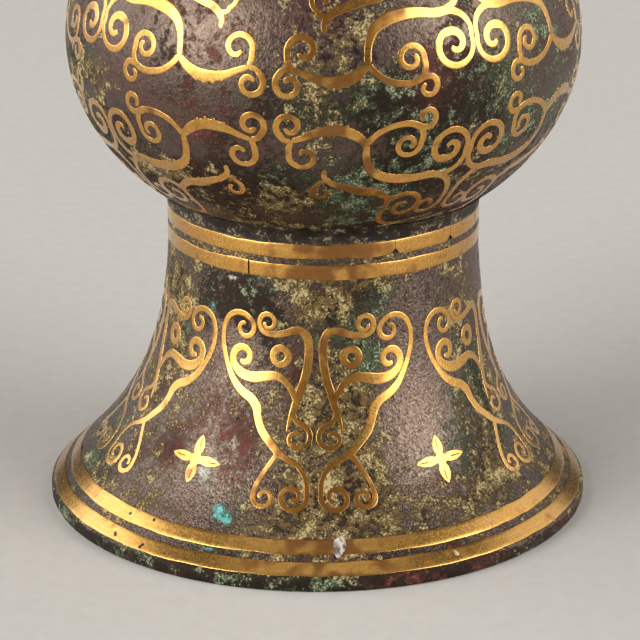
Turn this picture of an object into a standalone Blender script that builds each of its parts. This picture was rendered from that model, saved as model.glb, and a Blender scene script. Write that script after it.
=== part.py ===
"""A bronze gu vessel with gold inlay bands, as turned castings, solder rings and bent strips.

Units are metres and +Z is up. The origin is on the surface that the vessel stands on, under
its axis. The vessel's front faces -Y, and angles are in degrees from the front, growing
towards +X.
"""
import math

import bmesh
import bpy
from mathutils import Vector

# Turned pieces share a count of sides, and pieces that touch share a clearance.
SIDES = 36
CLEARANCE = 0.0003
OUTLINE_STEP = 0.0065
FLARE_STEPS = 64
SHARP_ANGLE = math.radians(30)

# Foot section: a hollow trumpet under a straight collar.
FOOT_RADIUS = 0.0460
FOOT_RIM_HEIGHT = 0.0020
FOOT_RIM_WIDTH = 0.0040
FOOT_HEIGHT = 0.0524
FOOT_WALL = 0.0032
FOOT_FLARE_POWER = 2.85
FOOT_FLARE_STRAIGHT = 0.15
COLLAR_RADIUS = 0.0261
COLLAR_HEIGHT = 0.0080

# Belly section: an ellipsoid, cut off where it meets the foot and the neck.
BELLY_RADIUS = 0.0423
BELLY_HALF_HEIGHT = 0.0335
BELLY_WALL = 0.0030

# Neck section: a straight collar under a trumpet mouth.
NECK_RADIUS = 0.0260
NECK_COLLAR_HEIGHT = 0.0080
NECK_HEIGHT = 0.1040
NECK_WALL = 0.0032
NECK_FLARE_POWER = 3.0
NECK_FLARE_STRAIGHT = 0.30
MOUTH_RADIUS = 0.0630
LIP_HEIGHT = 0.0020
LIP_WIDTH = 0.0035

# Spigot and socket joints between the sections, with solder in their seams.
SPIGOT_LENGTH = 0.0050
SPIGOT_WALL = 0.0030
SOCKET_WALL = 0.0020
SOLDER_THICKNESS = 0.0006
SOLDER_RECESS = 0.0005

# Well floor: a disc on a ledge inside the lower spigot, with a solder fillet round it.
LEDGE_WIDTH = 0.0020
LEDGE_HEIGHT = 0.0020
FLOOR_THICKNESS = 0.0022
FILLET_SIZE = 0.0012

# Gold strips, in pairs: one pair by each rim and one pair on each collar.
STRIP_THICKNESS = 0.0006
STRIP_PROUD = 0.0001
RIM_BAND_MARGIN = 0.0007
RIM_BAND_WIDTH = 0.0026
RIM_BAND_GAP = 0.0012
COLLAR_BAND_MARGIN = 0.0009
COLLAR_BAND_WIDTH = 0.0024
COLLAR_BAND_GAP = 0.0011

# Gold mask inlay: mirrored pairs of strands round the foot, between its rim bands and its
# collar. A half mask is drawn on a sheet whose width is half of a mask's share of the turn and
# whose height is the field's. Strands are rows of (across from the mask's middle, up, width).
MASKS = 5
FIRST_MASK_ANGLE = -2.5
MASK_LOW_MARGIN = 0.0048
MASK_HIGH_MARGIN = 0.0040
INLAY_THICKNESS = 0.0004
SHEET_WIDTH = 18.0
SHEET_HEIGHT = 32.7
CURL_STEP = 40.0
EYE_CENTRE = (5.8, 25.2)
EYE_RADIUS = 1.95
EYE_HOLE_RADIUS = 0.8
EYE_CORNERS = 12

# Gold rosettes of pointed petals, one low in each gap between two masks, on the same sheet.
ROSETTE_PETALS = 4
ROSETTE_RADIUS = 4.2
ROSETTE_HUB_RADIUS = 1.1
ROSETTE_UP = 6.2
PETAL_CORNERS = 8

# Angles at which the strips of each band butt together.
BUTT_JOINTS = {
    "foot_lower_band": (30, 205),
    "foot_upper_band": (5.5, 42, 195),
    "waist_lower_band": (-27.5, 150),
    "waist_upper_band": (26, 52, 200),
    "shoulder_lower_band": (-40, 140),
    "shoulder_upper_band": (15, 190),
    "mouth_lower_band": (-20, 165),
    "mouth_upper_band": (35, 210),
}

# Sizes that follow from the ones above.
SEAM = SOLDER_THICKNESS + 2 * CLEARANCE
GROOVE_DEPTH = STRIP_THICKNESS - STRIP_PROUD + CLEARANCE
BELLY_BOTTOM = FOOT_HEIGHT + SEAM
BELLY_CENTRE = BELLY_BOTTOM + BELLY_HALF_HEIGHT * math.sqrt(1 - (COLLAR_RADIUS / BELLY_RADIUS) ** 2)
BELLY_TOP = BELLY_CENTRE + BELLY_HALF_HEIGHT * math.sqrt(1 - (NECK_RADIUS / BELLY_RADIUS) ** 2)
NECK_BOTTOM = BELLY_TOP + SEAM
MOUTH_HEIGHT = NECK_BOTTOM + NECK_HEIGHT
FOOT_SOCKET_RADIUS = COLLAR_RADIUS - SOCKET_WALL
NECK_SOCKET_RADIUS = NECK_RADIUS - SOCKET_WALL
LOWER_SPIGOT_RADIUS = FOOT_SOCKET_RADIUS - CLEARANCE
UPPER_SPIGOT_RADIUS = NECK_SOCKET_RADIUS - CLEARANCE
LOWER_SPIGOT_END = BELLY_BOTTOM - SPIGOT_LENGTH
UPPER_SPIGOT_END = BELLY_TOP + SPIGOT_LENGTH
LOWER_BORE_RADIUS = LOWER_SPIGOT_RADIUS - SPIGOT_WALL
UPPER_BORE_RADIUS = UPPER_SPIGOT_RADIUS - SPIGOT_WALL
LEDGE_TOP = LOWER_SPIGOT_END + LEDGE_HEIGHT
FLOOR_BOTTOM = LEDGE_TOP + CLEARANCE
FLOOR_TOP = FLOOR_BOTTOM + FLOOR_THICKNESS
FLOOR_RADIUS = LOWER_BORE_RADIUS - CLEARANCE


def flare(narrow, wide, power, straight):
    """A trumpet's curve from its narrow end (radius, height) to its wide end.

    The radius grows by a power of the share of the height, mixed with a straight cone.
    """
    points = []
    for step in range(FLARE_STEPS + 1):
        share = step / FLARE_STEPS
        growth = (1 - straight) * share**power + straight * share
        radius = narrow[0] + (wide[0] - narrow[0]) * growth
        points.append((radius, narrow[1] + (wide[1] - narrow[1]) * share))
    return points


def curve_length(curve):
    """The length of a curve of (radius, height) points."""
    return sum(math.dist(a, b) for a, b in zip(curve, curve[1:]))


def curve_point(curve, distance, lift=0.0):
    """The point at a distance along an upward curve, lifted off it along its outward normal."""
    for low, high in zip(curve, curve[1:]):
        length = math.dist(low, high)
        if distance <= length or high is curve[-1]:
            share = distance / length
            normal = ((high[1] - low[1]) / length, (low[0] - high[0]) / length)
            radius = low[0] + (high[0] - low[0]) * share
            height = low[1] + (high[1] - low[1]) * share
            return (radius + lift * normal[0], height + lift * normal[1])
        distance -= length


def stretch(curve, start, end, lift=0.0):
    """Points along a part of a curve, close enough together for a smooth outline."""
    count = max(1, math.ceil((end - start) / OUTLINE_STEP))
    return [curve_point(curve, start + (end - start) * step / count, lift) for step in range(count + 1)]


def grooved(curve, bands):
    """An upward outline along a curve, with a groove for each band's strip and its clearance."""
    outline = []
    reached = 0.0
    for start, end in sorted(bands):
        groove_start = start - CLEARANCE
        groove_end = end + CLEARANCE
        outline += stretch(curve, reached, groove_start)
        outline.append(curve_point(curve, groove_start, -GROOVE_DEPTH))
        outline.append(curve_point(curve, groove_end, -GROOVE_DEPTH))
        reached = groove_end
    return outline + stretch(curve, reached, curve_length(curve))


def band_pair(edge, direction, margin, width, gap):
    """Where two bands start and end along a curve, counted from an edge of the curve."""
    near = (edge + direction * margin, edge + direction * (margin + width))
    far = (near[1] + direction * gap, near[1] + direction * (gap + width))
    return tuple(sorted(near)), tuple(sorted(far))


def ellipse(radius, half_height, start_radius, end_radius):
    """The belly's arc about its centre, upwards from one radius to another."""
    start = -math.acos(start_radius / radius)
    end = math.acos(end_radius / radius)
    count = math.ceil((end - start) * radius / OUTLINE_STEP)
    angles = [start + (end - start) * step / count for step in range(count + 1)]
    return [(radius * math.cos(a), BELLY_CENTRE + half_height * math.sin(a)) for a in angles]


def curl(centre, radii, start, sweep, widths, power=1.0):
    """Rows of a curl that winds in about a centre, from one radius and width to another.

    It starts at an angle and turns through a sweep, in degrees, against the clock where positive.
    """
    count = round(abs(sweep) / CURL_STEP)
    rows = []
    for step in range(count + 1):
        share = step / count
        radius = radii[1] + (radii[0] - radii[1]) * (1 - share) ** power
        turn = math.radians(start + sweep * share)
        width = widths[0] + (widths[1] - widths[0]) * share
        rows.append((centre[0] + radius * math.cos(turn), centre[1] + radius * math.sin(turn), width))
    return rows


def finish(name, colour, roughness, metallic):
    """A plain material with a part's colour and gloss."""
    material = bpy.data.materials.new(name)
    material.use_nodes = True
    shader = material.node_tree.nodes["Principled BSDF"]
    shader.inputs["Base Color"].default_value = (*colour, 1.0)
    shader.inputs["Roughness"].default_value = roughness
    shader.inputs["Metallic"].default_value = metallic
    material.diffuse_color = (*colour, 1.0)
    return material


def add_piece(name, shape, material):
    """Makes an object from a closed shape, with its faces pointing out and its rounds smooth."""
    bmesh.ops.recalc_face_normals(shape, faces=shape.faces)
    mesh = bpy.data.meshes.new(name)
    shape.to_mesh(mesh)
    shape.free()
    mesh.shade_smooth()
    mesh.set_sharp_from_angle(angle=SHARP_ANGLE)
    mesh.materials.append(material)
    piece = bpy.data.objects.new(name, mesh)
    bpy.context.scene.collection.objects.link(piece)
    piece.parent = vessel


def section_points(shape, outline, angle):
    """Puts an outline of (radius, height) points into a shape, in the plane at an angle."""
    turn = math.radians(angle)
    places = [(r * math.sin(turn), -r * math.cos(turn), z) for r, z in outline]
    return [shape.verts.new(place) for place in places]


def turned(name, outline, material):
    """A ring-shaped piece: a closed outline turned all the way round the vessel's axis."""
    shape = bmesh.new()
    corners = section_points(shape, outline, 0)
    edges = [shape.edges.new(pair) for pair in zip(corners, corners[1:] + corners[:1])]
    bmesh.ops.spin(
        shape,
        geom=corners + edges,
        cent=(0, 0, 0),
        axis=(0, 0, 1),
        angle=math.tau,
        steps=SIDES,
        use_merge=True,
    )
    add_piece(name, shape, material)


def bent_strip(name, outline, start, end, material):
    """A strip: a closed outline swept about the vessel's axis from one angle to another."""
    shape = bmesh.new()
    face = shape.faces.new(section_points(shape, outline, start))
    steps = max(2, round((end - start) * SIDES / 360))
    bmesh.ops.spin(
        shape,
        geom=[face, *face.edges, *face.verts],
        cent=(0, 0, 0),
        axis=(0, 0, 1),
        angle=math.radians(end - start),
        steps=steps,
    )
    add_piece(name, shape, material)


def inlaid_band(name, curve, band, material):
    """The strips of one band, with a clearance at each butt joint."""
    start, end = band
    bottom = STRIP_PROUD - STRIP_THICKNESS
    outline = [
        curve_point(curve, start, bottom),
        curve_point(curve, end, bottom),
        curve_point(curve, end, STRIP_PROUD),
        curve_point(curve, start, STRIP_PROUD),
    ]
    half_gap = math.degrees(CLEARANCE / 2 / min(radius for radius, height in outline))
    joints = BUTT_JOINTS[name]
    ends = [*joints[1:], joints[0] + 360]
    for number, (first, last) in enumerate(zip(joints, ends), start=1):
        bent_strip(f"{name}_{number}", outline, first + half_gap, last - half_gap, material)


def ribbon(shape, rows, place, root=None, closed=False):
    """A flat strand along its rows, with four corners at each row and faces between them.

    It may grow from the corners of a root, or close on itself. Its corners are returned.
    """
    before = [rows[-1] if closed else rows[0], *rows[:-1]]
    after = [*rows[1:], rows[0] if closed else rows[-1]]
    low = CLEARANCE
    high = CLEARANCE + INLAY_THICKNESS
    rings = [root] if root else []
    for (x0, y0, _), (x, y, width), (x1, y1, _) in zip(before, rows, after):
        half = width / 2 / math.hypot(x1 - x0, y1 - y0)
        left = (x - (y1 - y0) * half, y + (x1 - x0) * half)
        right = (x + (y1 - y0) * half, y - (x1 - x0) * half)
        corners = [(*left, low), (*left, high), (*right, high), (*right, low)]
        rings.append([shape.verts.new(place(*corner)) for corner in corners])
    for ring, following in zip(rings, rings[1:] + rings[:1] if closed else rings[1:]):
        for corner in range(4):
            beside = (corner + 1) % 4
            shape.faces.new((ring[corner], following[corner], following[beside], ring[beside]))
    if not closed:
        shape.faces.new(rings[-1])
        if not root:
            shape.faces.new(rings[0])
    return rings


def branch(shape, rings, rows, place):
    """A strand that grows out of the side of another one, at the wall nearest to its first row."""
    start = Vector(place(rows[0][0], rows[0][1], CLEARANCE))
    walls = []
    for ring, following in zip(rings, rings[1:]):
        walls.append([ring[0], ring[1], following[1], following[0]])
        walls.append([following[3], following[2], ring[2], ring[3]])
    root = min(walls, key=lambda wall: ((wall[0].co + wall[3].co) / 2 - start).length)
    shape.faces.remove(shape.faces.get(root))
    ribbon(shape, rows, place, root)


def plate(shape, centre, outline, place):
    """A flat plate with an outline that its centre sees all of: two fans and the wall between them."""
    layers = []
    for lift in (CLEARANCE, CLEARANCE + INLAY_THICKNESS):
        hub = shape.verts.new(place(*centre, lift))
        layers.append((hub, [shape.verts.new(place(*point, lift)) for point in outline]))
    (low_hub, low), (high_hub, high) = layers
    for corner in range(len(outline)):
        beside = corner - 1
        shape.faces.new((low_hub, low[corner], low[beside]))
        shape.faces.new((high_hub, high[beside], high[corner]))
        shape.faces.new((low[beside], low[corner], high[corner], high[beside]))


for old in list(bpy.data.objects):
    bpy.data.objects.remove(old)
vessel = bpy.data.objects.new("gu_vessel", None)
bpy.context.scene.collection.objects.link(vessel)

bronze = finish("patinated_bronze", (0.085, 0.065, 0.055), 0.45, 0.55)
solder = finish("dark_solder", (0.045, 0.042, 0.036), 0.7, 0.4)
gold = finish("gold_strip", (0.78, 0.52, 0.17), 0.3, 1.0)

# Foot section: the outline runs up its outside, down the socket and down its inside.
collar_bottom = (COLLAR_RADIUS, FOOT_HEIGHT - COLLAR_HEIGHT)
foot_trumpet = flare(collar_bottom, (FOOT_RADIUS, FOOT_RIM_HEIGHT), FOOT_FLARE_POWER, FOOT_FLARE_STRAIGHT)
foot_curve = [*reversed(foot_trumpet), (COLLAR_RADIUS, FOOT_HEIGHT)]
foot_length = curve_length(foot_curve)
foot_bands = band_pair(0.0, 1, RIM_BAND_MARGIN, RIM_BAND_WIDTH, RIM_BAND_GAP)
waist_bands = band_pair(foot_length, -1, COLLAR_BAND_MARGIN, COLLAR_BAND_WIDTH, COLLAR_BAND_GAP)
rim_inner_radius = FOOT_RADIUS - FOOT_RIM_WIDTH
foot_socket_bottom = LOWER_SPIGOT_END - CLEARANCE
foot_inside = [
    (radius, height)
    for radius, height in stretch(foot_curve, 0.0, foot_length - COLLAR_HEIGHT, -FOOT_WALL)
    if radius < rim_inner_radius and 0 < height < foot_socket_bottom
]
foot_outline = [
    (FOOT_RADIUS, 0.0),
    *grooved(foot_curve, foot_bands + waist_bands),
    (FOOT_SOCKET_RADIUS, FOOT_HEIGHT),
    (FOOT_SOCKET_RADIUS, foot_socket_bottom),
    (COLLAR_RADIUS - FOOT_WALL, foot_socket_bottom),
    *reversed(foot_inside),
    (rim_inner_radius, 0.0),
]
turned("foot_section", foot_outline, bronze)

# Belly section: up its outside, round the upper spigot, down its inside to the ledge.
belly_outline = [
    *ellipse(BELLY_RADIUS, BELLY_HALF_HEIGHT, COLLAR_RADIUS, NECK_RADIUS),
    (UPPER_SPIGOT_RADIUS, BELLY_TOP),
    (UPPER_SPIGOT_RADIUS, UPPER_SPIGOT_END),
    (UPPER_BORE_RADIUS, UPPER_SPIGOT_END),
    *reversed(
        ellipse(
            BELLY_RADIUS - BELLY_WALL, BELLY_HALF_HEIGHT - BELLY_WALL, LOWER_BORE_RADIUS, UPPER_BORE_RADIUS
        )
    ),
    (LOWER_BORE_RADIUS, LEDGE_TOP),
    (LOWER_BORE_RADIUS - LEDGE_WIDTH, LEDGE_TOP),
    (LOWER_BORE_RADIUS - LEDGE_WIDTH, LOWER_SPIGOT_END),
    (LOWER_SPIGOT_RADIUS, LOWER_SPIGOT_END),
    (LOWER_SPIGOT_RADIUS, BELLY_BOTTOM),
]
turned("belly_section", belly_outline, bronze)

# Neck section: up its outside to the lip, down its inside and round the socket.
neck_collar_top = (NECK_RADIUS, NECK_BOTTOM + NECK_COLLAR_HEIGHT)
lip_edge = (MOUTH_RADIUS, MOUTH_HEIGHT - LIP_HEIGHT)
neck_trumpet = flare(neck_collar_top, lip_edge, NECK_FLARE_POWER, NECK_FLARE_STRAIGHT)
neck_curve = [(NECK_RADIUS, NECK_BOTTOM), *neck_trumpet]
neck_length = curve_length(neck_curve)
shoulder_bands = band_pair(0.0, 1, COLLAR_BAND_MARGIN, COLLAR_BAND_WIDTH, COLLAR_BAND_GAP)
mouth_bands = band_pair(neck_length, -1, RIM_BAND_MARGIN, RIM_BAND_WIDTH, RIM_BAND_GAP)
lip_inner_radius = MOUTH_RADIUS - LIP_WIDTH
neck_socket_top = UPPER_SPIGOT_END + CLEARANCE
neck_inside = [
    (radius, height)
    for radius, height in stretch(neck_curve, NECK_COLLAR_HEIGHT, neck_length, -NECK_WALL)
    if radius < lip_inner_radius and neck_socket_top < height < MOUTH_HEIGHT
]
neck_outline = [
    *grooved(neck_curve, shoulder_bands + mouth_bands),
    (MOUTH_RADIUS, MOUTH_HEIGHT),
    (lip_inner_radius, MOUTH_HEIGHT),
    *reversed(neck_inside),
    (NECK_RADIUS - NECK_WALL, neck_socket_top),
    (NECK_SOCKET_RADIUS, neck_socket_top),
    (NECK_SOCKET_RADIUS, NECK_BOTTOM),
]
turned("neck_section", neck_outline, bronze)

# Well floor: a cast disc.
disc = bmesh.new()
bmesh.ops.create_cone(
    disc, cap_ends=True, segments=SIDES, radius1=FLOOR_RADIUS, radius2=FLOOR_RADIUS, depth=FLOOR_THICKNESS
)
bmesh.ops.translate(disc, verts=disc.verts, vec=(0, 0, FLOOR_BOTTOM + FLOOR_THICKNESS / 2))
add_piece("well_floor", disc, bronze)

# Solder: a sunk ring in each seam round the spigot, and a fillet round the well floor.
for seam_name, seam_bottom, spigot_radius, seam_radius in (
    ("waist_solder_ring", FOOT_HEIGHT, LOWER_SPIGOT_RADIUS, COLLAR_RADIUS),
    ("neck_solder_ring", BELLY_TOP, UPPER_SPIGOT_RADIUS, NECK_RADIUS),
):
    ring_inner = spigot_radius + CLEARANCE
    ring_outer = seam_radius - SOLDER_RECESS
    ring_bottom = seam_bottom + CLEARANCE
    ring_top = ring_bottom + SOLDER_THICKNESS
    ring_outline = [
        (ring_outer, ring_bottom),
        (ring_outer, ring_top),
        (ring_inner, ring_top),
        (ring_inner, ring_bottom),
    ]
    turned(seam_name, ring_outline, solder)
fillet_bottom = FLOOR_TOP + CLEARANCE
fillet_outline = [
    (FLOOR_RADIUS, fillet_bottom),
    (FLOOR_RADIUS, fillet_bottom + FILLET_SIZE),
    (FLOOR_RADIUS - FILLET_SIZE, fillet_bottom),
]
turned("floor_solder_ring", fillet_outline, solder)

# Gold bands, from the foot up.
inlaid_band("foot_lower_band", foot_curve, foot_bands[0], gold)
inlaid_band("foot_upper_band", foot_curve, foot_bands[1], gold)
inlaid_band("waist_lower_band", foot_curve, waist_bands[1], gold)
inlaid_band("waist_upper_band", foot_curve, waist_bands[0], gold)
inlaid_band("shoulder_lower_band", neck_curve, shoulder_bands[0], gold)
inlaid_band("shoulder_upper_band", neck_curve, shoulder_bands[1], gold)
inlaid_band("mouth_lower_band", neck_curve, mouth_bands[1], gold)
inlaid_band("mouth_upper_band", neck_curve, mouth_bands[0], gold)

# Mask inlay: each half has a back strand with a forked tail, a face strand and an eye ring.
mask_bottom = foot_bands[1][1] + MASK_LOW_MARGIN
mask_unit = (foot_length - COLLAR_HEIGHT - MASK_HIGH_MARGIN - mask_bottom) / SHEET_HEIGHT
sheet_degree = 180 / MASKS / SHEET_WIDTH
back_strand = [
    *reversed(curl((12.75, 28.7), (4.5, 1.5), -6, 430, (0.8, 0.6), 2.6)),
    (17.25, 26.2, 0.8),
    (16.7, 23.2, 0.85),
    (15.7, 21.2, 0.9),
    (14.25, 19.45, 1.0),
    (12.25, 18.2, 1.25),
    (10.4, 17.3, 1.55),
    (9.5, 16.4, 1.8),
    (9.1, 15.0, 1.4),
    (8.6, 13.2, 1.3),
    (7.6, 11.45, 1.25),
    (6.4, 9.95, 1.15),
    (5.4, 9.1, 1.0),
    (4.3, 8.7, 0.8),
    (3.0, 7.95, 0.7),
    (1.85, 6.7, 0.7),
    (1.15, 4.95, 0.7),
    *curl((2.9, 2.2), (2.2, 0.6), 153, 330, (0.7, 0.5), 0.7),
]
back_tail = [
    (6.0, 7.6, 0.8),
    (6.9, 5.8, 0.7),
    (7.6, 4.3, 0.7),
    *curl((6.6, 2.0), (1.5, 0.7), 29, -280, (0.7, 0.5)),
]
face_strand = [
    *reversed(curl((8.7, 31.0), (1.5, 1.1), -64, 290, (0.7, 0.55))),
    (8.25, 28.9, 0.75),
    (6.75, 28.6, 0.85),
    (5.25, 28.8, 0.95),
    (3.75, 29.5, 1.0),
    (2.5, 29.7, 1.1),
    (1.5, 28.95, 1.15),
    (1.1, 27.2, 1.15),
    (1.0, 24.7, 1.2),
    (1.25, 22.2, 1.2),
    (2.05, 19.7, 1.15),
    (2.6, 18.3, 1.15),
    (3.1, 17.2, 1.1),
    (3.6, 15.95, 1.0),
    (4.1, 14.2, 0.6),
    (4.25, 12.7, 0.25),
]
jaw = [
    (3.9, 19.3, 0.9),
    (4.5, 20.45, 1.0),
    (5.75, 21.6, 1.15),
    (7.25, 22.1, 1.25),
    (9.25, 21.95, 1.3),
    (11.25, 21.45, 1.35),
    (13.0, 21.8, 1.25),
    *curl((12.75, 24.3), (2.1, 1.0), -45, 275, (1.0, 0.6)),
]
chin_curl = [(2.55, 15.1, 0.75), *curl((2.65, 12.1), (2.25, 0.6), 105, 320, (0.75, 0.5), 0.8)]
eye_turns = [math.tau * corner / EYE_CORNERS for corner in range(EYE_CORNERS)]
eye_middle = (EYE_RADIUS + EYE_HOLE_RADIUS) / 2
eye_ring = [
    (
        EYE_CENTRE[0] + eye_middle * math.cos(turn),
        EYE_CENTRE[1] + eye_middle * math.sin(turn),
        EYE_RADIUS - EYE_HOLE_RADIUS,
    )
    for turn in eye_turns
]


def wrapped_on_foot(middle, way):
    """The placing of a sheet that is wrapped on the foot, from a mask's middle to one side of it."""

    def place(across, up, lift):
        turn = math.radians(middle + way * across * sheet_degree)
        radius, height = curve_point(foot_curve, mask_bottom + up * mask_unit, lift)
        return (radius * math.sin(turn), -radius * math.cos(turn), height)

    return place


for mask in range(MASKS):
    for side, way in (("left", -1), ("right", 1)):
        on_foot = wrapped_on_foot(FIRST_MASK_ANGLE + mask * 360 / MASKS, way)
        back = bmesh.new()
        branch(back, ribbon(back, back_strand, on_foot), back_tail, on_foot)
        add_piece(f"mask_{mask + 1}_{side}_back", back, gold)
        face = bmesh.new()
        face_rings = ribbon(face, face_strand, on_foot)
        branch(face, face_rings, jaw, on_foot)
        branch(face, face_rings, chin_curl, on_foot)
        add_piece(f"mask_{mask + 1}_{side}_face", face, gold)
        eye = bmesh.new()
        ribbon(eye, eye_ring, on_foot, closed=True)
        add_piece(f"mask_{mask + 1}_{side}_eye", eye, gold)

# Rosettes: each petal is a lens, whose sides are arcs through the hub's middle and the tip.
half_petal = math.pi / ROSETTE_PETALS
rosette_centre = (SHEET_WIDTH, ROSETTE_UP)
rosette_outline = []
for corner in range(ROSETTE_PETALS * PETAL_CORNERS):
    turn = 2 * half_petal * corner / PETAL_CORNERS
    from_petal = abs((turn + half_petal) % (2 * half_petal) - half_petal)
    arc_reach = ROSETTE_RADIUS * math.sin(half_petal - from_petal) / math.sin(half_petal)
    reach = max(ROSETTE_HUB_RADIUS, arc_reach)
    rosette_outline.append(
        (rosette_centre[0] + reach * math.cos(turn), rosette_centre[1] + reach * math.sin(turn))
    )
for gap in range(MASKS):
    rosette = bmesh.new()
    on_foot = wrapped_on_foot(FIRST_MASK_ANGLE + gap * 360 / MASKS, 1)
    plate(rosette, rosette_centre, rosette_outline, on_foot)
    add_piece(f"rosette_{gap + 1}", rosette, gold)
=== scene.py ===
"""The looks of a bronze gu vessel: patinated castings with gold bands, masks and scrolls let in.

Sizes are in millimetres unless a name says otherwise. Angles are in degrees from the front and
grow towards +X, and arc lengths run up a casting's outside. Meshes go into Blender in metres.
"""

import bpy
import numpy as np
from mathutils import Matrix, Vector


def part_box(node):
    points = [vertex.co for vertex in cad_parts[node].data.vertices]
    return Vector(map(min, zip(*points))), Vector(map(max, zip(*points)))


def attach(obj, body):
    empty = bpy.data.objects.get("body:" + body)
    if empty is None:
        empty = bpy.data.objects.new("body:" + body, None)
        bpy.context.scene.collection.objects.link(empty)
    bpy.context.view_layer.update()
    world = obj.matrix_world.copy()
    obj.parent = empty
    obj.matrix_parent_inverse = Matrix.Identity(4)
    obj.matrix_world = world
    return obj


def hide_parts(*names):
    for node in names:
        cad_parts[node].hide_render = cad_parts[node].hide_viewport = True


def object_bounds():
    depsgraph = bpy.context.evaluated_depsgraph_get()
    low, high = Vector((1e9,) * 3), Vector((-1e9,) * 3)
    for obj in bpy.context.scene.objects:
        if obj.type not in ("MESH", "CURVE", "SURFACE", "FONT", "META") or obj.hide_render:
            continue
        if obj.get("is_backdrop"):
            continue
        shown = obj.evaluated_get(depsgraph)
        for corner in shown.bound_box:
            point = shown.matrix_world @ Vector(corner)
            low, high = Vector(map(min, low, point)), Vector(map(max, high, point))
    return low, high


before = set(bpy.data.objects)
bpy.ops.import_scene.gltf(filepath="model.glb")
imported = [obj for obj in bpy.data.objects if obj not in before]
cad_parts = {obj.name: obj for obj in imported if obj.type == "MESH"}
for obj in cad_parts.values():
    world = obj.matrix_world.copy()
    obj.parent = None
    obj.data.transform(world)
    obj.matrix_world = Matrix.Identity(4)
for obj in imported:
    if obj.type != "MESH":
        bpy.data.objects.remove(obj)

cad_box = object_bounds()

# Foot casting
# A hollow bronze trumpet under a straight collar, cast in one piece and turned smooth outside.
# Long burial gave it a brown oxide skin with sandy grains, mineral crust and a few bright salts.
metre = 1000.0
foot_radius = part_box("foot_section")[1].x * metre
foot_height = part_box("foot_section")[1].z * metre
foot_wall = 3.2
foot_rim_height = 2.0
foot_rim_width = 4.0
foot_rim_round = 0.5
foot_power = 2.85
foot_straight = 0.15
collar_radius = 26.1
collar_height = 8.0
foot_socket_wall = 2.0
foot_socket_depth = 4.1
foot_inside_low = 0.5
rim_bands = ((0.7, 3.3), (4.5, 7.1))
collar_bands = ((0.9, 3.3), (4.4, 6.8))
groove_inset = 0.25
groove_depth = 0.30
groove_wall_rows = np.array([-0.25, -0.02, 0.02, 0.25])
outer_step = 0.62
inner_step = 1.6
rim_margin = 0.35
seam_margin = 0.3
standing_height = 0.3
swell_depth = 0.18
swell_size = 17.0
rim_shift = -0.4
waist_shift = 1.0
lean_heights = (4.0, 46.0)
crease_angle = 50.0
patch_size = 21.0
patch_detail_size = 8.0
patch_detail_share = 0.6
patch_mean = 0.8
patch_strength = 0.5
pit_size = 1.7
pit_range = (0.72, 0.92)
pit_zone_size = 12.0
pit_zone_range = (0.35, 0.7)
pit_depth = 0.14
groove_shade = 2.0
lump_size = 1.3
lump_strength = 0.8
lump_range = (0.4, 0.8)
lump_rise = 0.03
collar_rows = 80


def along_line(points):
    """How far each point of a line lies from its start: the chords between the points, added up."""
    return np.concatenate(([0.0], np.cumsum(np.hypot(*np.diff(points, axis=0).T))))


def traced(points):
    """A curve's columns of arc length, radius, height and outward normal, from dense points.

    The normal is the unit slope turned to the outside.
    """
    arc = along_line(points)
    slope = np.gradient(points, arc, axis=0)
    return np.column_stack((arc, points, slope[:, 1], -slope[:, 0]))


def on_curve(curve, arc, lift=0.0):
    """Radius and height at arc lengths along a curve, lifted off it along its outward normal."""
    radius, height, out, up = (np.interp(arc, curve[:, 0], curve[:, k]) for k in range(1, 5))
    return radius + lift * out, height + lift * up


def around(radius, angle, height):
    """Points at a radius, an angle about the vessel's axis and a height."""
    turn = np.radians(angle)
    places = (radius * np.sin(turn), -radius * np.cos(turn), height)
    return np.stack(np.broadcast_arrays(*places), -1)


def evenly_round(columns):
    """The angles of columns spread evenly round the axis, from the front."""
    return np.arange(columns) * 360.0 / columns


def on_casting(curve, angle, arc, lift=0.0):
    """Points on a turned casting at angles and arc lengths, lifted off it along its normal."""
    radius, height = on_curve(curve, arc, lift)
    return around(radius, angle, height)


def smoothstep(value, low, high):
    """Nought below low, one above high, and an S-shaped rise between them."""
    share = np.clip((value - low) / (high - low), 0.0, 1.0)
    return share * share * (3.0 - 2.0 * share)


def lattice_noise(points, grain, seed):
    """Smooth noise from 0 to 1: hashed values at the corners of a lattice, blended between them.

    The lattice is a grain apart, and the blend along each axis is an S-shaped rise.
    """
    place = points / grain
    corner = np.floor(place).astype(np.int64)
    share = smoothstep(place - corner, 0.0, 1.0)
    total = np.zeros(points.shape[:-1])
    for step in np.ndindex(2, 2, 2):
        key = (corner + step) @ np.array([73856093, 19349663, 83492791]) + seed * 668265263
        key = ((key ^ (key >> 13)) * 1274126177) & 0x7FFFFFFF
        value = ((key ^ (key >> 16)) & 0xFFFF) / 0xFFFF
        total += value * np.where(step, share, 1.0 - share).prod(axis=-1)
    return total


def swell(points):
    """The hand-made unevenness of the castings, which everything let into them follows."""
    return swell_depth * (lattice_noise(points, swell_size, 1) - 0.5)


def leaning(points):
    """Points moved sideways by the casting's lean: the waist stands a little off the rim's middle."""
    shifted = points.copy()
    shifted[..., 0] += rim_shift + waist_shift * smoothstep(points[..., 2], *lean_heights)
    return shifted


def spots(angle, arc, places):
    """Soft oval spots, added up: each a bell curve about an angle and an arc length.

    A place is (angle, arc, half width in degrees, half height, strength).
    """
    total = np.zeros(np.broadcast(angle, arc).shape)
    for middle, up, half_width, half_height, strength in places:
        off = (angle - middle + 180.0) % 360.0 - 180.0
        total += strength * np.exp(-((off / half_width) ** 2) - ((arc - up) / half_height) ** 2)
    return total


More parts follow.
